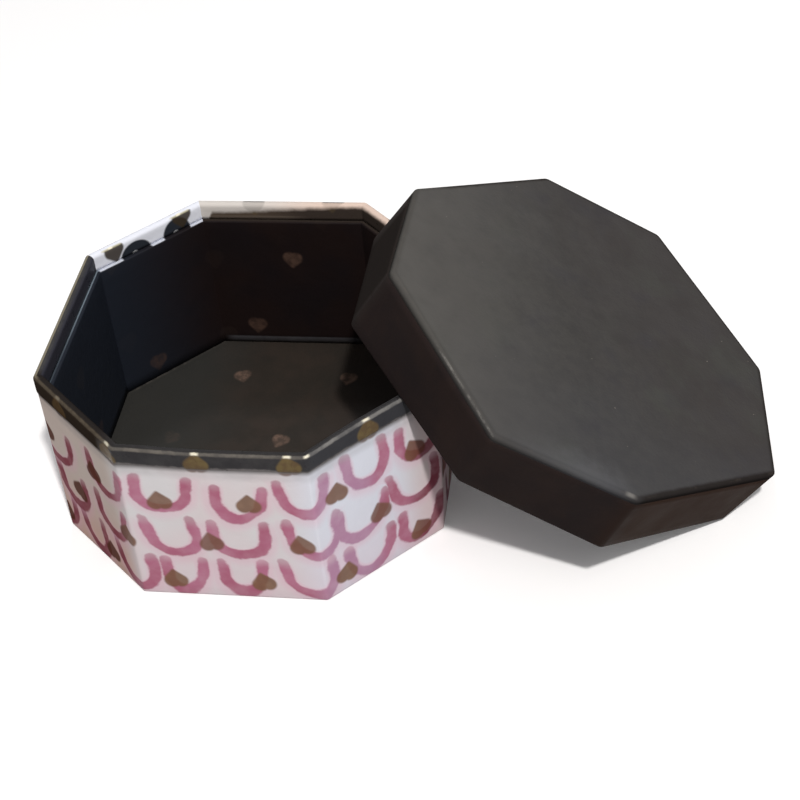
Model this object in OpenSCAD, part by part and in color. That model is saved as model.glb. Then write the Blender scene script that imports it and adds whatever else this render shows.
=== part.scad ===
// Eight-sided papier mache trinket box with a slip-over lid. The box stands open and the lid
// leans against it: one corner of the lid's mouth is on the table and the rim of the box carries
// the mouth at two places. Millimetres, +Z up, origin at the centre of the box's underside.

/* [Box] */
// Width of the box across its left and right walls
box_w = 100; // [86:1:120]
// Depth of the box across its front and back walls
box_d = 102; // [88:1:120]
// Height of the box to the top of its rim
box_h = 52; // [40:1:64]
// How far each corner is cut back along the walls beside it
corner_cut = 26; // [20:1:32]
// Thickness of the papier mache wall
box_wall_t = 2; // [1.4:0.1:3]
// Thickness of the base board
base_t = 2; // [1.4:0.1:3]
// Rounding of the eight upright edges of the box
box_edge_r = 1.2; // [0.6:0.1:3]

/* [Lining] */
// Thickness of the card that lines the wall
liner_t = 1.4; // [0.8:0.1:2.5]
// How far below the rim the card lining stops
liner_drop = 5; // [3:0.5:10]
// Thickness of the card that lines the floor
floor_t = 0.9; // [0.5:0.1:2]

/* [Rim] */
// Thickness of the lacquered paper folded over the rim
rim_paper_t = 0.25; // [0.2:0.05:0.5]
// Height of the dark band that the rim paper makes outside
rim_band_h = 5.5; // [3:0.5:12]

/* [Lid] */
// Height of the lid
lid_h = 19.5; // [14:0.5:26]
// Thickness of the lid's wall
lid_wall_t = 1.5; // [1:0.1:2.5]
// Thickness of the lid's top board
lid_top_t = 2; // [1.8:0.1:3]
// Thickness of the paper that lines the inside of the lid's top
lid_lining_t = 0.4; // [0.2:0.1:1]
// Rounding of the eight upright edges of the lid
lid_corner_r = 2.5; // [1:0.1:4]
// Rounding along the upper edge of the lid
lid_edge_r = 1.5; // [0.8:0.1:1.7]
// Clearance all round between the closed lid and the rim
lid_fit_gap = 0.35; // [0.2:0.05:0.8]

/* [Lid pose] */
// Length of the lid's mouth that reaches past the places where it rests on the rim
lid_overhang = 13.5; // [8:0.5:18]
// Turn of the lid about its own axis
lid_spin = 132.3; // [128:0.1:142]
// Sideways roll of the leaning lid
lid_roll = -1.4; // [-3:0.1:3]
// Turn of the whole leaning lid on the table
lid_heading = 1; // [-4:0.1:4]
// Clearance left between the leaning lid and the rim
rest_gap = 0.25; // [0.1:0.05:0.6]

/* [Hidden] */

cut = 1;            // length by which a cutting solid passes a face
slice_t = 0.01;     // thickness of the slices that shape the lid's rounded edge
arc_steps = 4;      // flats along each rounded upright edge
edge_steps = 4;     // slices along the lid's rounded upper edge

liner_grow = -box_wall_t - liner_t;
rim_top = box_h - rim_paper_t;
liner_top = box_h - liner_drop;
lid_inner_grow = rim_paper_t + lid_fit_gap;
lid_outer_grow = lid_inner_grow + lid_wall_t;
lid_wall_h = lid_h - lid_top_t;

// Corners of the box's outline, moved outwards by grow, starting at the right wall's front end
function octagon_points(grow) =
    let (a = box_w / 2 + grow,
         b = box_d / 2 + grow,
         slant = grow * (sqrt(2) - 1),
         fx = box_w / 2 - corner_cut + slant,
         fy = box_d / 2 - corner_cut + slant)
    [[a, -fy], [a, fy], [fx, b], [-fx, b], [-a, fy], [-a, -fy], [-fx, -b], [fx, -b]];

// The same outline with each corner rounded to radius r
function rounded_points(grow, r) =
    let (centres = octagon_points(grow - r))
    [for (i = [0:7], s = [0:arc_steps])
        let (a = 45 * (i - 1 + s / arc_steps))
        centres[i] + r * [cos(a), sin(a)]];

// A turn of a point about one axis of the table's frame
function turned_x(p, a) = [p.x, p.y * cos(a) - p.z * sin(a), p.y * sin(a) + p.z * cos(a)];
function turned_y(p, a) = [p.x * cos(a) + p.z * sin(a), p.y, p.z * cos(a) - p.x * sin(a)];
function turned_z(p, a) = [p.x * cos(a) - p.y * sin(a), p.x * sin(a) + p.y * cos(a), p.z];

// The lid's tilt follows from the height of the rim and the place where the mouth rests on it
lid_span = (box_w + box_d - 2 * corner_cut) / sqrt(2) + 2 * lid_outer_grow;
lid_tilt = asin((box_h + rest_gap) / (lid_span - lid_overhang));

// Corners of the leaning mouth, before the lid is moved to its place
function leaning(p) =
    turned_z(turned_y(turned_x(turned_z(p, lid_spin), lid_roll), lid_tilt), lid_heading);

// Lifts the lid until the lowest corner of its mouth is on the table
outer_mouth = [for (p = rounded_points(lid_outer_grow, lid_corner_r)) leaning([p.x, p.y, 0])];
inner_mouth = [for (p = octagon_points(lid_inner_grow)) leaning([p.x, p.y, 0])];
lid_lift = -min([for (p = outer_mouth) p.z]);

// The two places where the mouth's inner edge passes the height of the rim
touch_z = box_h + rest_gap - lid_lift;
touches = [for (i = [0:7])
    let (a = inner_mouth[i], b = inner_mouth[(i + 1) % 8])
    if ((a.z - touch_z) * (b.z - touch_z) < 0)
        a + (b - a) * (touch_z - a.z) / (b.z - a.z)];
front_touch = touches[0].y < touches[1].y ? touches[0] : touches[1];
back_touch = touches[0].y < touches[1].y ? touches[1] : touches[0];

// Moves the lid until both places lie over the slanting walls at the box's right side
rim_reach = (box_w + box_d) / 2 - corner_cut + rim_paper_t * sqrt(2);
lid_x = rim_reach - (front_touch.x - front_touch.y + back_touch.x + back_touch.y) / 2;
lid_y = front_touch.x - front_touch.y + lid_x - rim_reach;

module prism(grow, r, z, h) {
    translate([0, 0, z])
        linear_extrude(height = h)
            polygon(r > 0 ? rounded_points(grow, r) : octagon_points(grow));
}

// Puts a part of the lid, drawn with its mouth at z = 0, where the lid leans
module in_lid() {
    translate([lid_x, lid_y, lid_lift])
        rotate([0, 0, lid_heading])
            rotate([0, lid_tilt, 0])
                rotate([lid_roll, 0, 0])
                    rotate([0, 0, lid_spin])
                        children();
}

module box_wall() {
    color("lavenderblush")
        difference() {
            prism(0, box_edge_r, 0, rim_top);
            prism(-box_wall_t, 0, -cut, rim_top + 2 * cut);
        }
}

module box_base() {
    color("rosybrown")
        prism(-box_wall_t, 0, 0, base_t);
}

module wall_lining() {
    color("#2c2a2a")
        difference() {
            prism(-box_wall_t, 0, base_t, liner_top - base_t);
            prism(liner_grow, 0, base_t - cut, liner_top - base_t + 2 * cut);
        }
}

module floor_lining() {
    color("#343130")
        prism(liner_grow, 0, base_t, floor_t);
}

// Paper folded over the rim: a band outside, the top of the rim and the strip above the lining
module rim_paper() {
    color("#4a4744")
        difference() {
            prism(rim_paper_t, box_edge_r + rim_paper_t, box_h - rim_band_h, rim_band_h);
            prism(0, box_edge_r, box_h - rim_band_h - cut, rim_top - box_h + rim_band_h + cut);
            prism(-box_wall_t, 0, rim_top - cut, rim_paper_t + 2 * cut);
        }
    color("#4a4744")
        difference() {
            prism(-box_wall_t, 0, liner_top, liner_drop);
            prism(-box_wall_t - rim_paper_t, 0, liner_top - cut, liner_drop + 2 * cut);
        }
}

module lid_wall() {
    color("#34302e")
        in_lid()
            difference() {
                prism(lid_outer_grow, lid_corner_r, 0, lid_wall_h);
                prism(lid_inner_grow, 0, -cut, lid_wall_h + 2 * cut);
            }
}

// Top board with a rounded upper edge
module lid_top() {
    color("#403c39")
        in_lid()
            hull() {
                prism(lid_outer_grow, lid_corner_r, lid_wall_h, slice_t);
                for (s = [0:edge_steps]) {
                    a = 90 * s / edge_steps;
                    inset = lid_edge_r * (1 - cos(a));
                    z = lid_h - lid_edge_r * (1 - sin(a)) - slice_t;
                    prism(lid_outer_grow - inset, lid_corner_r - inset, z, slice_t);
                }
            }
}

module lid_lining() {
    color("#2c2a2a")
        in_lid()
            prism(lid_inner_grow, 0, lid_wall_h - lid_lining_t, lid_lining_t);
}

box_wall();
box_base();
wall_lining();
floor_lining();
rim_paper();
lid_wall();
lid_top();
lid_lining();
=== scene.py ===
import math
import random

import bpy
from mathutils import Matrix, Vector, noise


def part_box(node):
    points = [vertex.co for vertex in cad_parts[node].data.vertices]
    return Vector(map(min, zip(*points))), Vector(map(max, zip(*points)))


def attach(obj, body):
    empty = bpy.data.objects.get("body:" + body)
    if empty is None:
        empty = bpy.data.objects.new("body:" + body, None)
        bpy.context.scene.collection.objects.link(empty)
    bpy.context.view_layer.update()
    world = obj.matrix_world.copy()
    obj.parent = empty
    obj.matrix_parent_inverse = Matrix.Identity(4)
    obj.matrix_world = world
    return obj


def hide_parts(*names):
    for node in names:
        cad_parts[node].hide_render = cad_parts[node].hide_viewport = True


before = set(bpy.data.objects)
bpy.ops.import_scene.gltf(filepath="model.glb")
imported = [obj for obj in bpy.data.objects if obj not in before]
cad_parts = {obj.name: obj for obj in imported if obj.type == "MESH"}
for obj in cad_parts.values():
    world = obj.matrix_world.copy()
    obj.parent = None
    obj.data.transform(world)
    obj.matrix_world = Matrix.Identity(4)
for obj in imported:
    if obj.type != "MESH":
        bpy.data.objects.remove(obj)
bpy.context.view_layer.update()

# Looks of an eight-sided papier mache box whose lid leans against it. The wall is white paper with
# pink brush strokes and small brown hearts, the rim, the inside and the lid are dark lacquer.
# Shapes are worked out in millimetres, as in the CAD source, and stored in metres.

MM = 0.001


def node_box(name):
    """Lowest and highest corner of a CAD node, in millimetres"""
    low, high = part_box(name)
    return low / MM, high / MM


# Box, from the frame
wall_low, wall_high = node_box("box_wall")
BOX_W = wall_high.x - wall_low.x
BOX_D = wall_high.y - wall_low.y
BOX_H = node_box("rim_paper")[1].z
BASE_T = node_box("box_base")[1].z
LINER_TOP = node_box("wall_lining")[1].z
FLOOR_TOP = node_box("floor_lining")[1].z
WALL_T = (BOX_W - (node_box("box_base")[1].x - node_box("box_base")[0].x)) / 2
LINER_IN = (BOX_W - (node_box("floor_lining")[1].x - node_box("floor_lining")[0].x)) / 2
PAPER_T = node_box("rim_paper")[1].x - BOX_W / 2
BAND_BOTTOM = node_box("rim_paper")[0].z

# Sizes that the frame doesn't give, as in the CAD source
CORNER_CUT = 26
EDGE_R = 1.2
LID_H = 19.5
LID_WALL_T = 1.5
LID_TOP_T = 2
LID_LINING_T = 0.4
LID_CORNER_R = 2.5
LID_FIT_GAP = 0.35
LID_OVERHANG = 13.5
LID_SPIN = 132.3
LID_ROLL = -1.4
LID_HEADING = 1
REST_GAP = 0.25

LID_IN = PAPER_T + LID_FIT_GAP
LID_OUT = LID_IN + LID_WALL_T
LID_WALL_H = LID_H - LID_TOP_T

# Fineness of the meshes
ARC_STEPS = 6
FLAT_STEPS = 18
FOLD_STEPS = 5
LEAST_CORNER_R = 0.35    # for the corners of outlines inside the wall
NOISE_SEED = Vector((3.7, 1.3, 8.1))


# Outlines and meshes

def octagon_corner(i, grow):
    """Corner i of the box's outline moved outwards by grow, from the right wall's front end on"""
    a = BOX_W / 2 + grow
    b = BOX_D / 2 + grow
    slant = grow * (math.sqrt(2) - 1)
    fx = BOX_W / 2 - CORNER_CUT + slant
    fy = BOX_D / 2 - CORNER_CUT + slant
    corners = [(a, -fy), (a, fy), (fx, b), (-fx, b), (-a, fy), (-a, -fy), (-fx, -b), (fx, -b)]
    return Vector(corners[i % 8])


def outline(grow, radius):
    """Points round the outline with rounded corners, denser towards the corners"""
    arcs = []
    for i in range(8):
        centre = octagon_corner(i, grow - radius)
        turns = [math.radians(45 * (i - 1 + k / ARC_STEPS)) for k in range(ARC_STEPS + 1)]
        arcs.append([centre + radius * Vector((math.cos(a), math.sin(a))) for a in turns])
    points = []
    for i in range(8):
        points += arcs[i]
        start, end = arcs[i][-1], arcs[(i + 1) % 8][0]
        shares = [(1 - math.cos(math.pi * k / FLAT_STEPS)) / 2 for k in range(1, FLAT_STEPS)]
        points += [start.lerp(end, share) for share in shares]
    return points


def lengths_round(points):
    """Length along a closed outline at each point, and at the end of the last stretch"""
    total = [0.0]
    for i, p in enumerate(points):
        total.append(total[-1] + (points[(i + 1) % len(points)] - p).length)
    return total


# Length along the wall at each point of an outline. Sheet places count from the front wall's left
# corner, and jump by the whole way round at the back wall's left corner.
STATIONS = lengths_round(outline(0, EDGE_R))
PERIMETER = STATIONS[-1]
SIDE_POINTS = ARC_STEPS + FLAT_STEPS
FRONT_LEFT = STATIONS[6 * SIDE_POINTS + ARC_STEPS // 2]
JUMP_POINT = 3 * SIDE_POINTS + ARC_STEPS // 2
# Where the painted paper ends: at the left wall's back corner
SEAM = STATIONS[4 * SIDE_POINTS + ARC_STEPS // 2] - FRONT_LEFT
PAPER_END = SEAM + PERIMETER


def sheet_s(k):
    """Length along the wall at point k of an outline, for the stretch that starts there"""
    return STATIONS[k] - FRONT_LEFT + (PERIMETER if k < JUMP_POINT else 0)


def wander(p, size, reach):
    """A soft hand-made unevenness from 0 to reach, over waves of the given size"""
    return reach * (0.5 + 0.5 * noise.noise(p / size + NOISE_SEED))


def make_mesh(name, rings, closed, place):
    """A mesh through rings of points. Each ring is (points, t), where t is the length along the
    sheet from the foot of the piece. closed joins the last ring to the first, and the open ends of
    other pieces are filled towards their middle."""
    count = len(rings[0][0])
    verts = [place @ p for points, t in rings for p in points]
    faces = []
    sheet = []

    def add(corners, marks):
        faces.append(corners)
        sheet.extend(marks)

    for j in range(len(rings) if closed else len(rings) - 1):
        above = (j + 1) % len(rings)
        below, over = j * count, above * count
        t0 = rings[j][1]
        t1 = rings[above][1] if above else t0 + 1
        for k in range(count):
            following = (k + 1) % count
            s0 = sheet_s(k)
            s1 = s0 + STATIONS[k + 1] - STATIONS[k]
            add((below + k, below + following, over + following, over + k),
                ((s0, t0), (s1, t0), (s1, t1), (s0, t1)))
    if not closed:
        for j, last in ((0, False), (len(rings) - 1, True)):
            points, t = rings[j]
            middle = sum(points, Vector()) / count
            verts.append(place @ middle)
            hub = len(verts) - 1
            for k in range(count):
                following = (k + 1) % count
                s0 = sheet_s(k)
                s1 = s0 + STATIONS[k + 1] - STATIONS[k]
                edge = (j * count + k, j * count + following)
                marks = ((s0, t), (s1, t))
                if last:
                    add((*edge, hub), (*marks, (s0, t)))
                else:
                    add((*reversed(edge), hub), (*reversed(marks), (s0, t)))
    mesh = bpy.data.meshes.new(name)
    mesh.from_pydata([v * MM for v in verts], [], faces)
    mark = mesh.attributes.new("sheet", "FLOAT_VECTOR", "CORNER")
    mark.data.foreach_set("vector", [x for s, t in sheet for x in (s, t, 0)])
    mesh.polygons.foreach_set("use_smooth", [True] * len(faces))
    mesh.update()
    return mesh


def add_piece(name, rings, closed, material, body, slot, *nodes, place=Matrix.Identity(4)):
    """Puts a mesh through rings of points into the scene as a piece that stands for CAD nodes"""
    mesh = make_mesh(name, rings, closed, place)
    piece = bpy.data.objects.new(name, mesh)
    bpy.context.scene.collection.objects.link(piece)
    mesh.materials.append(material)
    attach(piece, body)
    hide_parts(*nodes)
    return piece


def arc(centre, radius, start, end, steps):
    """Points of a profile's rounded edge, as (grow, z), from one angle to another in degrees"""
    turns = [math.radians(start + (end - start) * k / steps) for k in range(steps + 1)]
    return [(centre[0] + radius * math.cos(a), centre[1] + radius * math.sin(a)) for a in turns]


def steps_between(start, end, count):
    """Points of a profile strictly between two of its points"""
    (grow, z), (end_grow, end_z) = start, end
    return [(grow + (end_grow - grow) * k / count, z + (end_z - z) * k / count)
            for k in range(1, count)]


def swept(profile, corner_r, shift):
    """Rings of a profile carried round the box's outline. shift(p, grow, k) moves each point."""
    rings = []
    t = 0.0
    before = None
    for grow, z in profile:
        if before:
            t += math.dist(before, (grow, z))
        before = (grow, z)
        flat = outline(grow, max(LEAST_CORNER_R, corner_r + grow))
        rings.append(([shift(Vector((p.x, p.y, z)), grow, k) for k, p in enumerate(flat)], t))
    return rings


# Hand-made shape of the box

RIM_DIP = 1.15         # how far the rim sinks along the front
RIM_DIP_AT = 33.0      # middle of the dip, from the front wall's left corner
RIM_DIP_WIDTH = 24.0
RIM_DIP_FROM = 30.0    # height from which the wall sinks with it
WALL_WANDER = 0.18     # unevenness of the wall's faces
WALL_WAVE = 26.0
# How far each corner of the hand-made box stands from a true octagon at the foot and at the rim,
# and how far it bulges between them
FOOT_PULLS = ((0.9, 1.2), (0.6, 0), (0, 0), (0, 0), (0, 0), (-0.6, -2.0), (-0.8, 0.4), (0, 0))
RIM_PULLS = ((0, 0), (0, 0), (0, 0), (0, 0), (0, 0), (-0.9, -0.5), (0, 0), (0, 0))
BULGES = ((1.3, 0), (0.3, 0), (0, 0), (0, 0), (0, 0), (0, 0), (0, 0), (0, 0))


def pulled(pulls, k):
    """The pull at point k of an outline, between those of the corners beside it"""
    middle = ARC_STEPS // 2
    corner = (k - middle) // SIDE_POINTS % 8
    start = STATIONS[corner * SIDE_POINTS + middle]
    length = (STATIONS[(corner + 1) % 8 * SIDE_POINTS + middle] - start) % PERIMETER
    share = (STATIONS[k] - start) % PERIMETER / length
    return Vector(pulls[corner]).lerp(Vector(pulls[(corner + 1) % 8]), share)


def box_pull(p, grow, k):
    """Moves a point of the box by the pulls of its corners"""
    level = p.z / BOX_H
    pull = pulled(FOOT_PULLS, k).lerp(pulled(RIM_PULLS, k), level)
    pull += pulled(BULGES, k) * (4 * level * (1 - level))
    return p + (pull * (BOX_W / 2 + grow) / (BOX_W / 2)).to_3d()


def box_shift(p, grow, k):
    """The box's unevenness: corners out of true, faces that wander inwards and a rim that dips"""
    dip = RIM_DIP * math.exp(-((sheet_s(k) - RIM_DIP_AT) / RIM_DIP_WIDTH) ** 4)
    lower = Vector((0, 0, dip * max(0, p.z - RIM_DIP_FROM) / (BOX_H - RIM_DIP_FROM)))
    inward = p.to_2d().normalized().to_3d() * wander(p, WALL_WAVE, WALL_WANDER)
    return box_pull(p, grow, k) - lower - inward


WALL_OUTER_R = 0.9       # rounding of the wall's upper edge outside and inside
WALL_INNER_R = 0.8


def wall_profile():
    """Papier mache wall: a rounded foot outside, up, over and down to the base again"""
    foot_r = 0.7
    end_r = 0.3
    outer, inner = WALL_OUTER_R, WALL_INNER_R
    top = BOX_H - PAPER_T
    profile = arc((-foot_r, foot_r), foot_r, -90, 0, FOLD_STEPS)
    profile += steps_between((0, foot_r), (0, top - 1), 14)
    profile += arc((-outer, top - outer), outer, 0, 90, FOLD_STEPS)
    profile += arc((-WALL_T + inner, top - inner), inner, 90, 180, FOLD_STEPS)
    profile += steps_between((-WALL_T, top - inner), (-WALL_T, end_r + 0.1), 10)
    profile += arc((-WALL_T + end_r, end_r), end_r, 180, 270, 2)
    return profile


def rim_profile():
    """Lacquered paper: from its lower edge outside, over the rim and down to the lining"""
    fold = 1.05
    inner = -WALL_T - PAPER_T
    thin = 0.04
    sunk = 0.05              # how far the underside lies within the wall
    wall_top = BOX_H - PAPER_T
    inner_turn = WALL_INNER_R + sunk
    out = arc((PAPER_T - fold, BOX_H - fold), fold, 0, 90, FOLD_STEPS)
    down = arc((inner + fold, BOX_H - fold), fold, 90, 180, FOLD_STEPS)
    outer_skin = [(thin, BAND_BOTTOM), (PAPER_T * 0.8, BAND_BOTTOM + 0.3)]
    outer_skin += steps_between((PAPER_T, BAND_BOTTOM + 0.3), out[0], 4) + out
    inner_skin = down + steps_between(down[-1], (inner, LINER_TOP), 4) + [(inner, LINER_TOP)]
    under = [(-WALL_T + thin, LINER_TOP)]
    under += arc((-WALL_T + inner_turn, wall_top - inner_turn), WALL_INNER_R, 180, 90, 3)
    under += arc((-WALL_OUTER_R, wall_top - WALL_OUTER_R), WALL_OUTER_R - sunk, 90, 0, 3)
    under += [(-sunk, BAND_BOTTOM)]
    return outer_skin + inner_skin + under


def lining_profile():
    """Card lining: its rounded upper edge, the face that shows and the back against the wall"""
    edge = 0.55
    back_edge = 0.15
    inner = -LINER_IN
    top = LINER_TOP
    profile = [(-WALL_T, BASE_T), (-WALL_T, top - back_edge)]
    profile += arc((-WALL_T - back_edge, top - back_edge), back_edge, 0, 90, 2)[1:]
    profile += arc((inner + edge, top - edge), edge, 90, 180, FOLD_STEPS)
    profile += steps_between((inner, top - edge), (inner, FLOOR_TOP - 0.2), 12)
    profile += [(inner, BASE_T)]
    return profile


def plate(low, high, grow, edge, corner_r, shift):
    """A board with a rounded upper edge and a soft lower one, as rings for an open mesh"""
    soft = 0.25
    profile = [(grow - 8, low), (grow - soft, low), (grow, low + soft), (grow, high - edge)]
    profile += arc((grow - edge, high - edge), edge, 0, 90, 4)[1:]
    profile += [(grow - inset, high) for inset in (2.5, 6, 12, 20)]
    return swept(profile, corner_r, shift)


# Where the lid leans, worked out as in the CAD source

CAD_ARC_STEPS = 4        # flats along each rounded corner there


def lid_place():
    """The matrix that takes the lid, drawn with its mouth at z = 0, to where it leans"""
    span = (BOX_W + BOX_D - 2 * CORNER_CUT) / math.sqrt(2) + 2 * LID_OUT
    tilt = math.asin((BOX_H + REST_GAP) / (span - LID_OVERHANG))
    turn = Matrix.Rotation(math.radians(LID_HEADING), 4, "Z")
    turn = turn @ Matrix.Rotation(tilt, 4, "Y")
    turn = turn @ Matrix.Rotation(math.radians(LID_ROLL), 4, "X")
    turn = turn @ Matrix.Rotation(math.radians(LID_SPIN), 4, "Z")
    lowest = []
    for i in range(8):
        centre = octagon_corner(i, LID_OUT - LID_CORNER_R)
        for k in range(CAD_ARC_STEPS + 1):
            a = math.radians(45 * (i - 1 + k / CAD_ARC_STEPS))
            p = centre + LID_CORNER_R * Vector((math.cos(a), math.sin(a)))
            lowest.append((turn @ p.to_3d()).z)
    lift = -min(lowest)
    mouth = [turn @ octagon_corner(i, LID_IN).to_3d() for i in range(8)]
    rest_z = BOX_H + REST_GAP - lift
    touches = []
    for i in range(8):
        a, b = mouth[i], mouth[(i + 1) % 8]
        if (a.z - rest_z) * (b.z - rest_z) < 0:
            touches.append(a.lerp(b, (rest_z - a.z) / (b.z - a.z)))
    front, back = sorted(touches, key=lambda p: p.y)
    reach = (BOX_W + BOX_D) / 2 - CORNER_CUT + PAPER_T * math.sqrt(2)
    x = reach - (front.x - front.y + back.x + back.y) / 2
    y = front.x - front.y + x - reach
    return Matrix.Translation((x, y, lift)) @ turn


# Hand-made shape of the lid

LID_WANDER = 0.16      # unevenness of its faces
LID_WAVE = 30.0
TOP_WANDER = 0.12      # how far the face of its top sinks in places
TOP_WAVE = 24.0
LID_ROUND = 0.9        # rounding of its upper edge
# How far each corner of the hand-made lid stands from a true octagon, in the lid's own frame
TOP_PULLS = ((-0.5, -1.7), (-0.6, -2.2), (0.6, -2.3), (-1.4, 1.9), (0.2, -1.3), (-2.7, -2.7),
             (1.5, -0.6), (2.1, -2.0))
MOUTH_PULLS = ((0, 0), (0, 0), (0, 0), (0, -0.6), (-0.1, -2.7), (-1.8, 0.2), (0, 0), (0, 0))


def lid_shift(p, grow, k):
    """The lid's unevenness: corners out of true and faces that wander towards its middle"""
    pull = pulled(MOUTH_PULLS, k).lerp(pulled(TOP_PULLS, k), p.z / LID_H)
    reach = (BOX_W / 2 + grow) / (BOX_W / 2 + LID_OUT)
    inward = p.to_2d().normalized().to_3d() * wander(p, LID_WAVE, LID_WANDER)
    return p + (pull * reach).to_3d() - inward


def lid_wall_profile():
    """Lid wall: the mouth's rounded edge outside, up the outside and down the inside"""
    edge = 0.5
    top = LID_WALL_H
    profile = arc((LID_IN + edge, edge), edge, 180, 270, 3)
    profile += arc((LID_OUT - edge, edge), edge, -90, 0, 3)
    profile += steps_between((LID_OUT, edge), (LID_OUT, top), 8)
    profile += [(LID_OUT, top), (LID_IN, top)]
    profile += steps_between((LID_IN, top), (LID_IN, edge), 5)
    return profile


def lid_top_rings():
    """Lid top: a flat underside, the rounded upper edge and a face that wanders a little"""
    profile = [(LID_OUT - 12, LID_WALL_H), (LID_OUT - 1, LID_WALL_H), (LID_OUT, LID_WALL_H)]
    profile += arc((LID_OUT - LID_ROUND, LID_H - LID_ROUND), LID_ROUND, 0, 90, 8)
    profile += [(LID_OUT - inset, LID_H) for inset in (2.1, 3.5, 6, 10, 15, 21, 28, 36)]

    def shift(p, grow, k):
        moved = lid_shift(p, grow, k)
        if grow < LID_OUT - LID_ROUND and p.z > LID_WALL_H:
            moved.z -= wander(p, TOP_WAVE, TOP_WANDER)
        return moved

    return swept(profile, LID_CORNER_R - LID_OUT, shift)


# Shader arithmetic

class Number:
    """A value in a material that takes ordinary arithmetic"""

    def __init__(self, tree, socket):
        self.tree = tree
        self.socket = socket

    def math(self, operation, *others):
        node = self.tree.nodes.new("ShaderNodeMath")
        node.operation = operation
        for place, value in zip(node.inputs, (self, *others)):
            put(self.tree, place, value)
        return Number(self.tree, node.outputs[0])

    def __add__(self, other):
        return self.math("ADD", other)

    def __sub__(self, other):
        return self.math("SUBTRACT", other)

    def __mul__(self, other):
        return self.math("MULTIPLY", other)

    def __truediv__(self, other):
        return self.math("DIVIDE", other)

    def __neg__(self):
        return self.math("MULTIPLY", -1)

    def floor(self):
        return self.math("FLOOR")

    def abs(self):
        return self.math("ABSOLUTE")

    def sqrt(self):
        return self.math("SQRT")

    def least(self, other):
        return self.math("MINIMUM", other)

    def most(self, other):
        return self.math("MAXIMUM", other)

    def mod(self, other):
        return self.math("FLOORED_MODULO", other)

    def over(self, other):
        return self.math("GREATER_THAN", other)

    def ramp(self, low, high, to_low=0.0, to_high=1.0):
        """Eases from one value at low to another at high, and holds them beyond"""
        node = self.tree.nodes.new("ShaderNodeMapRange")
        node.interpolation_type = "SMOOTHSTEP"
        for name, value in (("Value", self), ("From Min", low), ("From Max", high),
                            ("To Min", to_low), ("To Max", to_high)):
            put(self.tree, node.inputs[name], value)
        return Number(self.tree, node.outputs["Result"])

    def band(self, middle, half, soft):
        """1 within half of middle, fading to 0 over soft"""
        return (self - middle).abs().ramp(half + soft, half)


def put(tree, place, value):
    """Sets a socket, or links it to a number of the material"""
    if isinstance(value, Number):
        tree.links.new(value.socket, place)
    else:
        place.default_value = value


def srgb(r, g, b):
    """A colour as it is seen, from 0 to 255, as the shader's linear values"""
    def linear(v):
        v /= 255
        return v / 12.92 if v <= 0.04045 else ((v + 0.055) / 1.055) ** 2.4
    return (linear(r), linear(g), linear(b), 1.0)


class Paint:
    """One material being built: its node tree, its places on the sheet and its helpers"""

    def __init__(self, name):
        self.material = bpy.data.materials.new(name)
        self.material.use_nodes = True
        self.tree = self.material.node_tree
        self.shader = self.tree.nodes["Principled BSDF"]
        mark = self.tree.nodes.new("ShaderNodeAttribute")
        mark.attribute_name = "sheet"
        self.s, self.t, _ = self.split(mark.outputs["Vector"])
        self.object = self.tree.nodes.new("ShaderNodeTexCoord").outputs["Object"]
        self.x, self.y, self.z = (v / MM for v in self.split(self.object))

    def split(self, socket):
        node = self.tree.nodes.new("ShaderNodeSeparateXYZ")
        self.tree.links.new(socket, node.inputs[0])
        return [Number(self.tree, out) for out in node.outputs]

    def join(self, x, y, z):
        node = self.tree.nodes.new("ShaderNodeCombineXYZ")
        for place, value in zip(node.inputs, (x, y, z)):
            put(self.tree, place, value)
        return Number(self.tree, node.outputs[0])

    def noise(self, size, detail, rough, seed):
        """Soft noise from 0 to 1 with waves of the given size in millimetres"""
        node = self.tree.nodes.new("ShaderNodeTexNoise")
        node.noise_dimensions = "4D"
        node.inputs["Scale"].default_value = 1 / (size * MM)
        node.inputs["Detail"].default_value = detail
        node.inputs["Roughness"].default_value = rough
        node.inputs["W"].default_value = seed
        self.tree.links.new(self.object, node.inputs["Vector"])
        return Number(self.tree, node.outputs["Fac"])

    def chance(self, x, y, seed):
        """Three random values from 0 to 1 for a pair of whole numbers"""
        node = self.tree.nodes.new("ShaderNodeTexWhiteNoise")
        node.noise_dimensions = "3D"
        self.tree.links.new(self.join(x, y, seed).socket, node.inputs["Vector"])
        return self.split(node.outputs["Color"])

    def mix(self, share, a, b):
        """Colour a where share is 0, b where it is 1. A plain colour is (r, g, b) as in srgb()."""
        node = self.tree.nodes.new("ShaderNodeMix")
        node.data_type = "RGBA"
        put(self.tree, node.inputs["Factor"], share)
        for place, colour in ((6, a), (7, b)):
            colour = colour if isinstance(colour, Number) else srgb(*colour)
            put(self.tree, node.inputs[place], colour)
        return Number(self.tree, node.outputs[2])

    def mottled(self, size, detail, rough, seed, half, a, b):
        """Colours a and b in soft patches of noise, from half below its middle to half above"""
        return self.mix(self.noise(size, detail, rough, seed).ramp(0.5 - half, 0.5 + half), a, b)

    def finish(self, colour, rough, height=None, depth=0.1, **rest):
        """Links the shader. depth is the height of the bump in millimetres."""
        put(self.tree, self.shader.inputs["Base Color"], colour)
        put(self.tree, self.shader.inputs["Roughness"], rough)
        for name, value in rest.items():
            put(self.tree, self.shader.inputs[name.replace("_", " ")], value)
        if height is not None:
            bump = self.tree.nodes.new("ShaderNodeBump")
            bump.inputs["Distance"].default_value = depth * MM
            put(self.tree, bump.inputs["Height"], height)
            self.tree.links.new(bump.outputs["Normal"], self.shader.inputs["Normal"])
        return self.material


# Motifs of the printed paper

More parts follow.
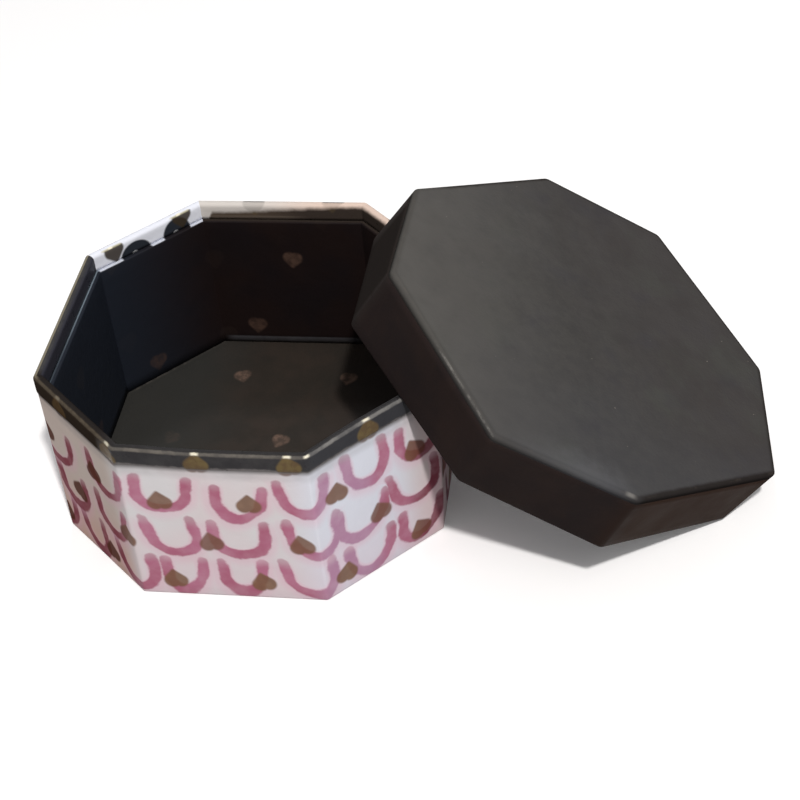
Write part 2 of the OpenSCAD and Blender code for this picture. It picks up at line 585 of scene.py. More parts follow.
HEARTS_ROUND = 15        # hearts in one row round the box
HEART_PITCH = PERIMETER / HEARTS_ROUND
HEART_PHASE = 20.4       # place of a heart of the rim's row, from the front wall's left corner
HEART_ROW = 14.2         # height from one row to the next
HEART_ROW_0 = 48.8       # height of the rim's row at the front
HEART_RISE = 6.7         # how much higher the rows lie where the paper's end meets its start
HEART_UNIT = 4.5         # a heart is 1.44 of these wide and 1.34 high
HEART_BLUNT = 0.12       # how far its outline is rounded off outwards, in units
HEART_TALL = 1.1         # how much taller it is than those proportions
HEART_STRAY = 0.1        # how far a heart strays sideways in all, in units
HEART_MIDDLE = 0.55      # height of the point that it turns about, in units


def heart_edge(x, y):
    """Signed distance to a heart's edge, in hearts, with its tip at y = 0 and its lobes at y = 1"""
    x = x.abs()
    total = x + y
    lobe = ((x - 0.25) * (x - 0.25) + (y - 0.75) * (y - 0.75)).sqrt() - math.sqrt(2) / 4
    half = total.most(0) * 0.5
    cleft = x * x + (y - 1) * (y - 1)
    flank = (x - half) * (x - half) + (y - half) * (y - half)
    inside = (x - y).math("SIGN")
    point = cleft.least(flank).sqrt() * inside
    upper = total.over(1)
    return upper * lobe + (-upper + 1) * point - HEART_BLUNT


def turned_heart(x, y, angle, soft):
    """A heart round the origin, in units, turned by an angle, with its tip upwards"""
    cos, sin = angle.math("COSINE"), angle.math("SINE")
    edge = heart_edge(x * cos - y * sin, -(x * sin + y * cos) + HEART_MIDDLE)
    return edge.ramp(soft, -soft)


def hearts(paint, s, t, pitch, phase, row, first, seed, lean=0.35, soft=0.09, unit=HEART_UNIT,
           around=HEARTS_ROUND):
    """Hearts in rows, each row half a pitch on. Returns where they are and a chance for each."""
    level = ((t - first) / row + 0.5).floor()
    odd = level.mod(2)
    along = (s - phase) / pitch - odd * 0.5
    column = (along + 0.5).floor()
    key = (column + odd * 0.5).mod(around)
    turn, shift, fade = paint.chance(key, level, seed)
    x = (along - column) * (pitch / unit) + (shift - 0.5) * HEART_STRAY
    y = (t - first - level * row) / (unit * HEART_TALL)
    return turned_heart(x, y, (turn - 0.5) * (2 * lean), soft), fade


def sheet_rise(paint):
    """How much higher the pattern lies than at the front. It grows round to the paper's end."""
    way = paint.s.mod(PERIMETER)
    return way.ramp(90, 260, 0, HEART_RISE) * (-way.over(PAPER_END) + 1)


STROKE_COLUMNS = 20      # pink strokes in one row round the box
STROKES_BEFORE = 3       # how many of the columns of STROKE_MOVES are numbered below 0
STROKE_PITCH = PERIMETER / STROKE_COLUMNS
STROKE_PHASE = 11.0      # place of the first stroke from the front wall's left corner
STROKE_FOOT = (0.6, 14.2, 28.4)   # height of each row's lowest points
STROKE_HALF = 5.9        # half the width of a stroke's curve, at the middle of the brush mark
STROKE_FLARE = 0.07      # how much wider it gets for each millimetre up
STROKE_ARM = 5.9         # height of its straight arms
BRUSH = 3.1              # width of the brush mark
STROKE_REACH = 10.0      # furthest that a stroke can be moved from its even place
# How far the strokes in the photograph's view sit from their even places, as (right, up, narrower
# on each side), by row
STROKE_MOVES = (
    {-3: (2.8, 0, 0), -2: (2.3, 0, 0.9), -1: (4.0, 0, -0.4), 0: (1.2, 0, 1.5), 1: (-1.0, 0, 1.3),
     2: (-0.3, 0, 0), 3: (-0.3, 0, 0), 4: (-1.9, 1.6, 0.2)},
    {-3: (-5.0, -1, 0), -2: (-4.9, -2.2, 0), -1: (-2.7, -0.2, 0), 0: (-0.2, 0.3, 0),
     1: (0, 0, -0.6), 2: (1.9, 0.8, -0.2), 3: (-1.9, 0, -0.6), 4: (-2.8, 1.8, -0.5)},
    {-3: (-9.0, 1, 0), -2: (-9.2, -3.2, -0.8), -1: (-2.0, 0.4, -0.6), 0: (-1.0, 1.6, -0.3),
     1: (1.1, -0.8, 0.2), 2: (0.5, 1.2, 0.4), 3: (1.3, 2.4, 0.5), 4: (0.2, 2, 0)},
)


def stroke_ramp(paint, row, column):
    """How far each stroke of a row is moved right, up and narrower, and a chance for its lean"""
    draw = random.Random(40 + row)
    node = paint.tree.nodes.new("ShaderNodeValToRGB")
    node.color_ramp.interpolation = "CONSTANT"
    stops = node.color_ramp.elements
    for i in range(STROKE_COLUMNS):
        shown = i if i < STROKE_COLUMNS - STROKES_BEFORE else i - STROKE_COLUMNS
        moves = draw.uniform(-1.5, 1.5), draw.uniform(-0.8, 0.8), draw.uniform(-0.4, 0.8)
        moves = STROKE_MOVES[row].get(shown, moves)
        stop = stops[i] if i < 2 else stops.new(i / STROKE_COLUMNS)
        stop.position = i / STROKE_COLUMNS
        stop.color = (*(0.5 + move / (2 * STROKE_REACH) for move in moves), draw.random())
    put(paint.tree, node.inputs["Fac"], (column + 0.5) / STROKE_COLUMNS)
    moves = [(move - 0.5) * (2 * STROKE_REACH) for move in paint.split(node.outputs["Color"])]
    return (*moves, Number(paint.tree, node.outputs["Alpha"]))


def stroke(paint, row, along, column, t):
    """One brushed U shape. Returns the distance to the brush line, the same with its inside below
    0, and the height on it."""
    right, up, narrower, lean = stroke_ramp(paint, row, column.mod(STROKE_COLUMNS))
    x = (along - column) * STROKE_PITCH - right
    y = t - (STROKE_FOOT[row] + STROKE_HALF + BRUSH / 2) - up
    half = y * STROKE_FLARE - narrower + STROKE_HALF
    x = (x + y * (lean - 0.4) * 0.3) / half
    arc_part = ((x * x + (y / STROKE_HALF) * (y / STROKE_HALF)).sqrt() - 1) * half
    above = (y - STROKE_ARM * 0.92 - (lean - 0.5) * 1.5).most(0)
    beside = (x.abs() - 1) * half
    arm_part = (beside * beside + above * above).sqrt()
    upper = y.over(0)
    lower = -upper + 1
    return upper * arm_part + lower * arc_part.abs(), upper * beside + lower * arc_part, y


def stroke_row(paint, row, s, t):
    """A row of strokes: for each place, what stroke() says of the nearer one beside it"""
    along = (s - STROKE_PHASE) / STROKE_PITCH
    column = along.floor()
    before = stroke(paint, row, along, column, t)
    after = stroke(paint, row, along, column + 1, t)
    later = before[0].over(after[0])
    return [a + (b - a) * later for a, b in zip(before, after)]


# Materials. Places on a piece are (s, t) on its sheet: t is the length up its profile, and s the
# length round the wall. Its corners are at s = -123.4, -86.7, -36.7, 0, 47.9, 84.7, 134.6, 171.3
# and 219.3, which is the first one again. A ramp between two places near one of these lets a tone
# change at that corner.

WALL_START = 0.4         # the painted wall's t at the height of the box's underside
STRIP_END = 58.6         # t at the lower end of the rim's inner strip, measured as on the wall
OUTER_FOLD = 51.8        # t of the line where the rim's paper turns inwards
INNER_FOLD = 53.7        # t of the line where it turns down again
LINING_START = 93.1      # on the lining, t is this less the height
DARK_ARCS = (            # place, half width and height of the dark arcs on the rim's inner strip
    (-100.3, 5.1, 4.4),
    (-114.2, 4.7, 5.4),
)
INSIDE_HEARTS = (        # place, height and strength of the hearts that show on the lining
    (193.6, 33.6, 1.0),
    (207.6, 9.3, 0.8),
    (-99.2, 7.8, 0.5),
    (-60.6, 11.0, 0.3),
)


def painted_paper():
    """White paper with pink brush strokes and brown hearts"""
    paint = Paint("painted_paper")
    bend = paint.noise(9, 1, 0.5, 2.1) - 0.5
    bend_t = paint.noise(9, 1, 0.5, 5.3) - 0.5
    s = paint.s + bend * 2.2
    t = paint.t - WALL_START + bend_t * 2.0

    ground = paint.mottled(20, 2, 0.5, 1.0, 0.15, (221, 219, 221), (223, 214, 216))
    # Painted reflection: a cool lavender cast on the right-front face
    cool_reflection = paint.s.band(60, 9, 13)
    ground = paint.mix(cool_reflection * 0.9, ground, (226, 231, 243))
    # Painted shade: the left-front face is darker and browner, its strokes and hearts too, and it
    # has no shine
    left_face_shade = paint.s.ramp(2, -8)
    ground = paint.mix(left_face_shade * 0.8, ground, (210, 194, 182))
    # Painted shade towards the right-front corner, beside the lid's shadow, on the ground and on
    # the strokes
    far = paint.s.ramp(72, 84)
    ground = paint.mix(far * 0.8, ground, (222, 203, 202))
    # Painted shade on the lower wall: pinker towards the foot, and darker there on the left-front
    # face
    low = paint.z.ramp(30, 0)
    ground = paint.mix(low * 0.3, ground, (228, 196, 208))
    ground = paint.mix(low * left_face_shade * 0.7, ground, (212, 172, 154))

    # Painted shade of the lid at the right, for the strokes and the hearts
    shaded = paint.s.ramp(73, 80) * paint.s.ramp(100, 90)
    colour = ground
    ink = None
    for row in range(3):
        distance, signed, height = stroke_row(paint, row, s, t)
        ends = height.ramp(STROKE_ARM - 3, STROKE_ARM + 1.5)
        ragged = distance + (paint.noise(1.3, 2, 0.6, 3.0 + row) - 0.5) * 0.7 + ends * 0.25
        ragged = ragged + (paint.noise(5, 1, 0.5, 21.0 + row) - 0.5) * 1.5
        mark = ragged.ramp(BRUSH / 2 + 0.35, BRUSH / 2 - 0.4)
        outside = signed.ramp(-0.5, 1) * distance.ramp(BRUSH / 2 + 3.4, BRUSH / 2)
        glow = outside.most(distance.ramp(BRUSH / 2 + 1.1, BRUSH / 2)) * height.ramp(8, 3)
        density = paint.noise(4, 2, 0.55, 7.0 + row).ramp(0.25, 0.7, 0.84, 1.0)
        tone = paint.mottled(12, 1, 0.5, 11.0 + row, 0.15, (184, 116, 142), (174, 102, 126))
        # The strokes take the painted reflection on the right-front face and the painted shade
        # beside it
        tone = paint.mix(paint.s.band(56, 5, 8) * 0.8, tone, (184, 144, 174))
        tone = paint.mix(far * 0.6, tone, (158, 98, 112))
        tone = paint.mix(shaded * 0.9, tone, (122, 54, 68))
        tone = paint.mix(left_face_shade * 0.9, tone, (136, 72, 80))
        tone = paint.mix(ends * 0.5, tone, (174, 138, 148))
        colour = paint.mix(glow * 0.4, colour, (228, 182, 200))
        colour = paint.mix(mark * density * (ends * -0.3 + 1), colour, tone)
        ink = mark if ink is None else ink.most(mark)
    heart, fade = hearts(paint, paint.s + bend * 0.8,
                         paint.t - WALL_START + bend_t * 0.8 - sheet_rise(paint),
                         HEART_PITCH, HEART_PHASE, HEART_ROW, HEART_ROW_0, seed=3.0)
    blot = paint.noise(3, 2, 0.5, 15.0).ramp(0.35, 0.65)
    brown = paint.mix(fade, (132, 102, 76), (130, 94, 86))
    brown = paint.mix(blot * 0.5, brown, (112, 82, 62))
    brown = paint.mix(ink * 0.25, brown, (122, 78, 62))
    brown = paint.mix(shaded * 0.95, brown, (112, 64, 54))
    brown = paint.mix(left_face_shade * 0.9, brown, (92, 54, 44))
    colour = paint.mix(heart * 0.93, colour, brown)
    # Painted shade below the rim's band: patchy a few millimetres down and strong just under its
    # edge
    under = paint.t - WALL_START - BAND_BOTTOM
    patchy = paint.noise(6, 2, 0.55, 23.0).ramp(0.3, 0.7, 0.5, 1)
    colour = paint.mix(under.ramp(-4.6, -2.0) * patchy * 0.35, colour, (150, 148, 150))
    colour = paint.mix(under.ramp(-1.7, 0.1) * 0.85, colour, (104, 102, 102))

    grain = paint.noise(0.7, 3, 0.6, 4.0)
    lumps = paint.noise(5, 2, 0.5, 6.0)
    height = grain * 0.25 + lumps * 0.75 + ink * 0.12 + heart * 0.12
    rough = paint.noise(9, 2, 0.5, 8.0).ramp(0.3, 0.7, 0.36, 0.5)
    return paint.finish(colour, rough, height, 0.16, Specular_IOR_Level=left_face_shade * -0.04 + 0.04)


def rim_lacquer():
    """Dark lacquered paper with gold hearts over the rim, with painted glare and highlights"""
    paint = Paint("rim_lacquer")
    s = paint.s
    t = paint.t + BAND_BOTTOM
    front = s.ramp(-40, -36) * s.ramp(90, 86)
    left, right = s.ramp(2, -8) * front, s.band(66, 16, 4)
    end_side = s.ramp(SEAM + 0.2, SEAM - 0.1)
    back_side = s.ramp(130, 134)
    left_side = s.ramp(-88, -86) * s.ramp(-34, -38)
    colour = paint.mottled(4, 3, 0.6, 1.0, 0.2, (59, 58, 59), (48, 47, 49))
    # Painted shade: the band is darker and browner on the left-front face
    colour = paint.mix(left * 0.9, colour, (52, 43, 35))
    colour = paint.mix(right * 0.7, colour, (54, 55, 60))
    edge = (t - BAND_BOTTOM - paint.noise(5, 3, 0.6, 12.0).ramp(0.4, 0.75, 0, 0.7)).ramp(0.9, 0)
    colour = paint.mix(edge * 0.75, colour, paint.mix(left, (132, 128, 127), (92, 78, 70)))
    top = t.ramp(52.0, 52.5)
    colour = paint.mix(top * front * 0.8, colour, (36, 34, 34))
    inside = t.ramp(53.2, 54)
    brown = paint.mix(s.ramp(205, 186), (82, 70, 60), (60, 52, 47))
    colour = paint.mix(inside * s.ramp(120, 135), colour, brown)
    colour = paint.mix(inside * left_side, colour, (50, 50, 58))
    low_line = t.band(57.9, 0.35, 0.5) * s.ramp(186, 196)
    colour = paint.mix(low_line * 0.5, colour, (104, 94, 84))

    # Painted glare where the paper folds over to the inside at the back, with a ragged lower edge
    limit = s.ramp(171, 216, 54.1, 56.2) + s.ramp(215.5, 217.5) * 3
    limit = limit + (paint.noise(3, 3, 0.6, 14.0) - 0.5) * 1.2
    painted_glare = back_side * (t - limit).ramp(0.9, -0.8)
    painted_glare = painted_glare.most(end_side) * t.ramp(51.4, 51.9)
    glare_tint = paint.mix(s.ramp(205, 180), (206, 200, 194), (216, 194, 180))
    colour = paint.mix(painted_glare, colour, paint.mix(end_side, glare_tint, (226, 229, 238)))
    arcs, glint_dots = dark_arcs(s, t)
    colour = paint.mix(arcs * end_side, colour, (42, 46, 53))

    heart, _ = hearts(paint, s, t - sheet_rise(paint), HEART_PITCH, HEART_PHASE, HEART_ROW,
                      HEART_ROW_0 + 0.3, seed=3.0, lean=0.25, unit=HEART_UNIT * 0.97)
    gold = paint.mottled(2, 2, 0.5, 15.0, 0.15, (110, 94, 62), (98, 80, 56))
    # Hearts are painted darker in that painted shade, and where the painted glare is
    gold = paint.mix(left * 0.7, gold, (78, 60, 44))
    gold = paint.mix(painted_glare, gold, (58, 50, 40))
    seen = -(back_side * t.ramp(52.2, 53)) * 0.75 + 1
    seen = seen * (-(end_side * t.ramp(53.9, 53.5)) + 1)
    colour = paint.mix(heart * 0.95 * seen, colour, gold)
    # Painted glints at the lower ends of the dark arcs
    colour = paint.mix(glint_dots * end_side, colour, (222, 224, 226))

    # Painted highlight along the fold, partly wear, with painted glints at the tips of the hearts
    # and at the right-front corner
    worn = paint.noise(4, 4, 0.65, 2.0).ramp(0.3, 0.7, 0.35, 1.0)
    light = paint.mix(right, paint.mix(left, (108, 103, 96), (92, 84, 72)),
                      (126, 124, 121))
    waver = t + (paint.noise(2, 3, 0.6, 13.0) - 0.5) * 0.5
    colour = paint.mix(waver.band(OUTER_FOLD, 0.2, 0.5) * front * worn * 0.9, colour, light)
    colour = paint.mix(t.band(52.3, 0.2, 0.3) * left_side * 0.5, colour, (168, 158, 132))
    beside = (s - HEART_PHASE + HEART_PITCH / 2).mod(HEART_PITCH) - HEART_PITCH / 2
    near = beside.band(0.6, 2.8, 0.8) * end_side
    inner_line = t.band(INNER_FOLD, 0.15, 0.3) * near
    colour = paint.mix(inner_line * 0.6, colour, (190, 184, 150))
    outer_line = t.band(OUTER_FOLD - 0.1, 0.3, 0.3) * near
    colour = paint.mix(outer_line * 0.8, colour, (128, 112, 84))
    front_right = (s - BOX_W + 2 * CORNER_CUT).band(0.2, 0.3, 0.9)
    glint = (beside.band(0, 0.4, 1.0) * front).most(front_right)
    glint = glint * waver.band(OUTER_FOLD + 0.1, 0.1, 0.45) * (left * -0.9 + 1)
    inner_glint = t.band(INNER_FOLD - 0.1, 0.15, 0.35) * end_side
    glint = glint.most(beside.band(0.9, 0.35, 0.6) * inner_glint)
    colour = paint.mix(glint * 0.85, colour, (238, 232, 210))
    rough = paint.noise(3, 2, 0.5, 8.0).ramp(0.3, 0.7, 0.26, 0.38).most(end_side * 0.5)
    height = paint.noise(2.5, 3, 0.55, 4.0)
    return paint.finish(colour, rough, height, 0.12, Specular_IOR_Level=left * -0.06 + 0.06)


def dark_arcs(s, t):
    """The dark arcs at the paper's end and the painted glints, small white dots, on their lower
    edge. t is measured as on the rim's inner strip."""
    arcs = glint_dots = None
    for place, half, high in DARK_ARCS:
        across, up = (s - place) / half, (t - STRIP_END - 0.8) / high
        arc_edge = (across * across + up * up).sqrt().ramp(1.06, 0.92)
        dot_across, dot_up = (s - place - 0.3) / 0.9, (t - STRIP_END + 0.1) / 0.55
        glint_dot = (dot_across * dot_across + dot_up * dot_up).sqrt().ramp(1.2, 0.7)
        arcs = arc_edge if arcs is None else arcs.most(arc_edge)
        glint_dots = glint_dot if glint_dots is None else glint_dots.most(glint_dot)
    return arcs, glint_dots


def dark_lining():
    """Near-black lacquer with faded gold hearts, painted bluish light at the left and painted light
    on its edge
    """
    paint = Paint("dark_lining")
    s, t = paint.s, paint.t
    high = -t + LINING_START
    colour = paint.mottled(15, 2, 0.5, 1.0, 0.15, (29, 21, 20), (25, 20, 21))
    # Painted bluish light on the left walls
    left = s.ramp(-128, -84) * s.ramp(-20, -37)
    colour = paint.mix(left, colour, (32, 36, 44))
    heart, fade = hearts(paint, s, t, HEART_PITCH, phase=195.0, row=HEART_ROW, first=2.8, seed=5.0,
                         lean=0.3)
    colour = paint.mix(heart * fade.ramp(0.7, 1.0, 0.0, 0.04), colour, (98, 84, 72))
    unit = HEART_UNIT * 0.9
    for place, height, strength in INSIDE_HEARTS:
        x = (s - place) / unit
        kept = turned_heart(x, (-high + height) / unit, x * 0 + 0.1, 0.12)
        kept = kept * paint.noise(2, 2, 0.6, 3.0).ramp(0.3, 0.7, 0.3, 0.75) * strength
        colour = paint.mix(kept, colour, (86, 66, 56))

    # Painted light at the foot of the back wall: a lighter strip that lifts the shade of the
    # corner, with a patchy painted highlight along it
    back = s.ramp(172, 176) * s.ramp(219, 215)
    colour = paint.mix(high.ramp(4.7, 4.2) * back * 0.7, colour, (58, 54, 52))
    patchy = paint.noise(9, 3, 0.6, 2.0).ramp(0.3, 0.65, 0.5, 1)
    colour = paint.mix(high.band(4.4, 0.5, 0.6) * back * patchy, colour, (80, 79, 82))

    # The edge: the painted glare reaches over it at the paper's end, and a painted bluish highlight
    # runs along it beside that
    end_side = s.ramp(SEAM - 0.4, SEAM - 1) * s.ramp(-86.4, -86.9)
    over = t.ramp(46.3, 45.9) * end_side
    colour = paint.mix(t.ramp(46.2, 45.7) * s.ramp(120, 135), colour, (50, 43, 39))
    arcs, _ = dark_arcs(s, t + (STRIP_END - LINER_TOP + 1.2))
    colour = paint.mix(over * (-arcs + 1), colour, (202, 206, 217))
    line = t.band(45.3, 0.12, 0.3) * s.ramp(-89, -87) * s.ramp(-45, -72, 0.25, 1)
    colour = paint.mix(line * s.ramp(-30, -38) * 0.7, colour, (134, 148, 160))
    rough = paint.noise(6, 2, 0.5, 8.0).ramp(0.3, 0.7, 0.42, 0.55)
    return paint.finish(colour, rough, paint.noise(4, 3, 0.5, 4.0), 0.15, Specular_IOR_Level=0.05)


def dark_floor():
    """Charcoal lacquer of the floor, with hearts and a painted highlight along the wall"""
    paint = Paint("dark_floor")
    colour = paint.mottled(9, 3, 0.6, 1.0, 0.2, (52, 45, 40), (45, 41, 37))
    # Painted light and shade: darker towards the lid's shadow at the right, greyer at the left and
    # lighter at the front
    colour = paint.mix(paint.x.ramp(8, 34) * 0.8, colour, (42, 37, 36))
    colour = paint.mix(paint.x.ramp(-5, -32) * 0.9, colour, (49, 49, 47))
    colour = paint.mix(paint.y.ramp(-2, -30) * 0.8, colour, (57, 56, 55))
    heart, _ = hearts(paint, paint.x, -paint.y, pitch=31.0, phase=1.5, row=26.8, first=-5.0,
                      seed=7.0, lean=0.4, soft=0.14, unit=3.4, around=50)
    kept = paint.noise(2, 2, 0.6, 3.0).ramp(0.35, 0.7, 0.3, 1) * paint.x.ramp(-27, -18, 0.1, 0.8)
    colour = paint.mix(heart * kept, colour, (116, 94, 82))
    # Painted highlight along the foot of the wall at the paper's end, partly wear
    worn = paint.noise(5, 3, 0.6, 2.0).ramp(0.4, 0.65, 0.05, 0.5)
    end_side = paint.s.ramp(SEAM + 4, SEAM - 8)
    colour = paint.mix(paint.t.band(8.9, 0.3, 0.7) * worn * end_side, colour, (104, 98, 92))
    rough = paint.noise(5, 2, 0.5, 8.0).ramp(0.3, 0.7, 0.45, 0.6)
    return paint.finish(colour, rough, paint.noise(1.2, 3, 0.6, 4.0), 0.08, Specular_IOR_Level=0.08)


def lid_inside():
    """Plain near-black lacquer inside the lid"""
    paint = Paint("lid_inside")
    colour = paint.mottled(15, 2, 0.5, 1.0, 0.15, (34, 29, 28), (27, 25, 26))
    rough = paint.noise(6, 2, 0.5, 8.0).ramp(0.3, 0.7, 0.35, 0.5)
    return paint.finish(colour, rough, paint.noise(4, 3, 0.5, 4.0), 0.15, Specular_IOR_Level=0.3)


def lid_relief(paint):
    """Height of the lid's fine grain and soft lumps"""
    return paint.noise(0.8, 3, 0.6, 4.0) * 0.4 + paint.noise(7, 2, 0.5, 5.0) * 0.6


def skirt_lacquer():
    """Dark satin lacquer of the lid's wall, browner at one side"""
    paint = Paint("skirt_lacquer")
    colour = paint.mottled(14, 4, 0.6, 1.0, 0.2, (37, 29, 27), (30, 25, 25))
    brown = paint.s.ramp(-92, -80) * paint.s.ramp(20, 0)
    colour = paint.mix(brown * 0.8, colour, (42, 27, 18))
    upper = paint.s.ramp(130, 140) * paint.s.ramp(174, 168)
    colour = paint.mix(upper * 0.8, colour, (46, 42, 40))
    worn = paint.noise(2, 3, 0.7, 2.0).ramp(0.5, 0.8)
    edge = paint.t.band(1.6, 0.2, 0.5)
    colour = paint.mix(edge * worn * 0.25, colour, (100, 92, 84))
    rough = paint.noise(12, 3, 0.55, 8.0).ramp(0.3, 0.7, 0.5, 0.64)
    shine = upper * -0.03 + 0.03
    return paint.finish(colour, rough, lid_relief(paint), 0.14, Specular_IOR_Level=shine)


def lid_lacquer():
    """Charcoal satin lacquer of the lid's top: faintly mottled, specked, worn, with painted sheen
    and shade
    """
    paint = Paint("lid_lacquer")
    x, y, s, t = paint.x, paint.y, paint.s, paint.t
    colour = paint.mottled(3.5, 5, 0.7, 1.0, 0.2, (61, 59, 57), (52, 51, 50))
    # Painted light across the top: darker towards the back right
    colour = paint.mix((x + y * 0.5).ramp(70, 130) * 0.8, colour, (50, 46, 45))
    colour = paint.mix(y.ramp(0, -50) * 0.5, colour, (60, 60, 63))
    stain = paint.noise(14, 4, 0.6, 9.0).ramp(0.5, 0.75)
    colour = paint.mix(stain * 0.4, colour, (46, 45, 51))
    green = paint.noise(17, 4, 0.6, 19.0).ramp(0.5, 0.7)
    colour = paint.mix(green * 0.35, colour, (60, 62, 56))
    # Painted sheen, lighter towards the left
    sheen = (x + y * 0.15).ramp(90, 38) * paint.noise(8, 4, 0.6, 13.0).ramp(0.25, 0.6, 0.7, 1)
    colour = paint.mix(sheen * 0.85, colour, (81, 79, 76))

    # The edge is painted darker on some sides, as painted shade into the dark of the wall. On one
    # side a soft painted highlight lies along it, partly wear, with thin bright wear where it is
    # chipped and a bright tick at a corner.
    edge_noise = paint.noise(3, 4, 0.65, 7.0) - 0.5
    dark_side = s.ramp(-90, -84) * s.ramp(130, 120)
    border = (t + edge_noise * 1.5).ramp(14.2, 15.2, 1, 0) * dark_side
    colour = paint.mix(border * 0.75, colour, (38, 34, 32))
    painted_glare = (t + edge_noise * 9).ramp(24, 14) * s.ramp(-124, -98) * s.ramp(-84, -96)
    colour = paint.mix(painted_glare * 0.45, colour, (92, 93, 96))
    chipped = s.ramp(190, 196) * paint.noise(4, 4, 0.7, 2.0).ramp(0.4, 0.65)
    corner = t.band(14.2, 0.2, 0.8) * s.band(-88.4, 0.3, 1.6)
    bright = (t.band(13.5, 0.15, 0.3) * chipped).most(corner)
    colour = paint.mix(bright * 0.45, colour, (146, 143, 138))
    worn = paint.noise(5, 5, 0.7, 2.0).ramp(0.5, 0.75) * t.band(14.1, 0.1, 0.4)
    colour = paint.mix(worn * 0.2, colour, (104, 94, 84))
    speck = paint.noise(1.1, 1, 0.5, 6.0).ramp(0.79, 0.85)
    colour = paint.mix(speck * 0.5, colour, (150, 142, 132))
    rough = paint.noise(12, 3, 0.55, 8.0).ramp(0.3, 0.7, 0.42, 0.58)
    shine = t.ramp(14.2, 15.5, 0, 0.1)
    return paint.finish(colour, rough, lid_relief(paint), 0.14, Specular_IOR_Level=shine)


def base_card():
    """Grey card under the box, with fibres and rubbed patches"""
    paint = Paint("base_card")
    colour = paint.mottled(6, 4, 0.6, 1.0, 0.2, (128, 112, 98), (104, 92, 82))
    rub = paint.noise(18, 2, 0.5, 3.0).ramp(0.5, 0.7)
    colour = paint.mix(rub * 0.5, colour, (78, 70, 66))
    return paint.finish(colour, 0.75, paint.noise(0.6, 4, 0.65, 4.0), 0.12)


FLOOR_GLOW = 0.06        # lifts the floor's far corners to white
FLOOR_GREY = (0.36, 0.35, 0.35, 1)     # the floor's colour for the light that it throws back
WHITE = (1, 1, 1, 1)
ROOM_LIGHT = 0.32        # strength of the world's light, where white to the camera is 1


def backdrop_rays(tree):
    """1 for the rays that show the white backdrop: straight, mirrored or through glass"""
    path = tree.nodes.new("ShaderNodeLightPath")
    camera, glossy, through = (Number(tree, path.outputs[name]) for name in
                               ("Is Camera Ray", "Is Glossy Ray", "Is Transmission Ray"))
    return camera.most(glossy).most(through)


def studio_floor():
    """Pale floor that the camera sees as white, and that keeps the shadows"""
    material = bpy.data.materials.new("studio_floor")
    material.use_nodes = True
    tree = material.node_tree
    shader = tree.nodes["Principled BSDF"]
    shader.inputs["Roughness"].default_value = 0.9
    shader.inputs["Specular IOR Level"].default_value = 0.1
    seen = backdrop_rays(tree)
    colour = tree.nodes.new("ShaderNodeMix")
    colour.data_type = "RGBA"
    put(tree, colour.inputs["Factor"], seen)
    colour.inputs[6].default_value = FLOOR_GREY
    colour.inputs[7].default_value = WHITE
    tree.links.new(colour.outputs[2], shader.inputs["Base Color"])
    shader.inputs["Emission Color"].default_value = WHITE
    put(tree, shader.inputs["Emission Strength"], seen * FLOOR_GLOW)
    return material


# The pieces

def build_box():
    """The five pieces of the box"""
    add_piece("painted_wall", swept(wall_profile(), EDGE_R, box_shift), True,
              painted_paper(), "box", "painted_wall", "box_wall")
    add_piece("rim_band", swept(rim_profile(), EDGE_R, box_shift), True,
              rim_lacquer(), "box", "rim_lacquer", "rim_paper")
    add_piece("card_lining", swept(lining_profile(), EDGE_R, box_shift), True,
              dark_lining(), "box", "dark_lining", "wall_lining")
    add_piece("floor_card", plate(BASE_T, FLOOR_TOP, -LINER_IN, 0.12, EDGE_R, box_pull), False,
              dark_floor(), "box", "dark_floor", "floor_lining")
    add_piece("base_board", plate(0.0, BASE_T, -WALL_T, 0.3, EDGE_R, box_pull), False,
              base_card(), "box", "base_card", "box_base")


def build_lid():
    """The three pieces of the lid, where it leans"""
    place = lid_place()
    skirt = swept(lid_wall_profile(), LID_CORNER_R - LID_OUT, lid_shift)
    add_piece("lid_skirt", skirt, True,
              skirt_lacquer(), "lid", "lid_lacquer", "lid_wall", place=place)
    add_piece("lid_cover", lid_top_rings(), False,
              lid_lacquer(), "lid", "lid_lacquer", "lid_top", place=place)
    lining = plate(LID_WALL_H - LID_LINING_T, LID_WALL_H, LID_IN, 0.1, 0.4, lid_shift)
    add_piece("lid_paper", lining, False,
              lid_inside(), "lid", "dark_lining", "lid_lining", place=place)


FLOOR_HALF = 3.0         # half the floor's width, in metres


def build_stage():
    """The floor that the object stands on"""
    mesh = bpy.data.meshes.new("studio_floor")
    half = FLOOR_HALF
    mesh.from_pydata([(-half, -half, 0), (half, -half, 0), (half, half, 0), (-half, half, 0)],
                     [], [(0, 1, 2, 3)])
    floor = bpy.data.objects.new("studio_floor", mesh)
    mesh.materials.append(studio_floor())
    bpy.context.scene.collection.objects.link(floor)


LAMP_AIM = Vector((20, 0, 30))


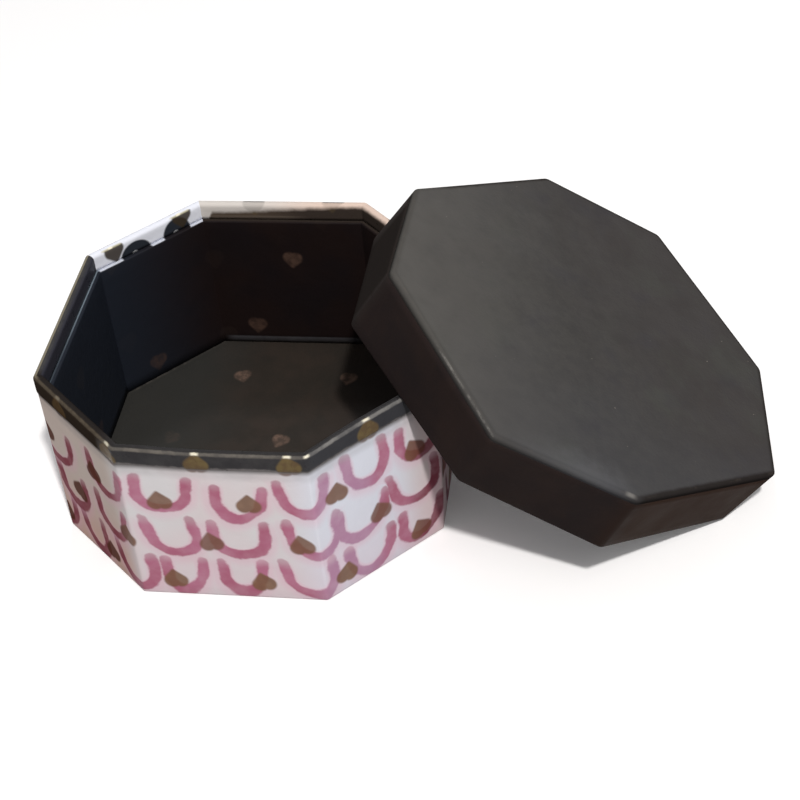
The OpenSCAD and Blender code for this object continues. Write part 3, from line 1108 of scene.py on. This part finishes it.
def stage_light(name, direction, distance, size, strength, colour):
    """A square lamp aimed at the object. strength is the brightness it gives a white face, and
    distance and size are in metres."""
    lamp = bpy.data.lights.new(name, "AREA")
    lamp.size = size
    lamp.energy = strength * math.pi ** 2 * distance ** 2
    lamp.color = colour
    lamp_object = bpy.data.objects.new(name, lamp)
    bpy.context.scene.collection.objects.link(lamp_object)
    away = Vector(direction).normalized()
    lamp_object.location = LAMP_AIM * MM + away * distance
    lamp_object.rotation_euler = away.to_track_quat("Z", "Y").to_euler()


def build_lights():
    """A small lamp for the sharp shadow, a large one that softens it, and one from behind"""
    stage_light("key_lamp", (0.225, -0.535, 0.815), 1.3, 0.05, 0.78, (1.0, 0.97, 0.95))
    stage_light("soft_lamp", (0.3, -0.5, 0.8), 1.3, 0.5, 0.12, (1.0, 0.98, 0.97))
    stage_light("back_lamp", (-0.10, 0.555, 0.826), 1.2, 0.15, 0.14, (0.95, 0.97, 1.0))


def build_world():
    """Even soft light, white where the camera sees past the floor"""
    scene = bpy.context.scene
    scene.world = bpy.data.worlds.new("studio")
    scene.world.use_nodes = True
    tree = scene.world.node_tree
    background = tree.nodes["Background"]
    background.inputs["Color"].default_value = WHITE
    strength = backdrop_rays(tree) * (1 - ROOM_LIGHT) + ROOM_LIGHT
    put(tree, background.inputs["Strength"], strength)


# Camera, fitted to the photograph

CAMERA_PLACE = Vector((113.2, -369.91, 358.74))
CAMERA_DOWN = 41.556
CAMERA_AZIMUTH = -11.504
CAMERA_ROLL = -6.165
FOCAL_PIXELS = 1892
FRAME_PIXELS = 800


def build_camera():
    """The camera at the photograph's place, turned the same way"""
    data = bpy.data.cameras.new("camera")
    data.sensor_width = 36
    data.lens = data.sensor_width * FOCAL_PIXELS / FRAME_PIXELS
    camera = bpy.data.objects.new("camera", data)
    bpy.context.scene.collection.objects.link(camera)
    az, el, roll = (math.radians(a) for a in (CAMERA_AZIMUTH, CAMERA_DOWN, CAMERA_ROLL))
    ahead = Vector((math.sin(az) * math.cos(el), math.cos(az) * math.cos(el), -math.sin(el)))
    level = ahead.cross(Vector((0, 0, 1))).normalized()
    above = level.cross(ahead)
    right = level * math.cos(roll) + above * math.sin(roll)
    up = right.cross(ahead)
    turn = Matrix((right, up, -ahead)).transposed().to_4x4()
    camera.matrix_world = Matrix.Translation(CAMERA_PLACE * MM) @ turn
    bpy.context.scene.camera = camera


build_camera()
build_world()
build_lights()
build_stage()
build_box()
build_lid()
bpy.context.scene.view_settings.view_transform = "Standard"
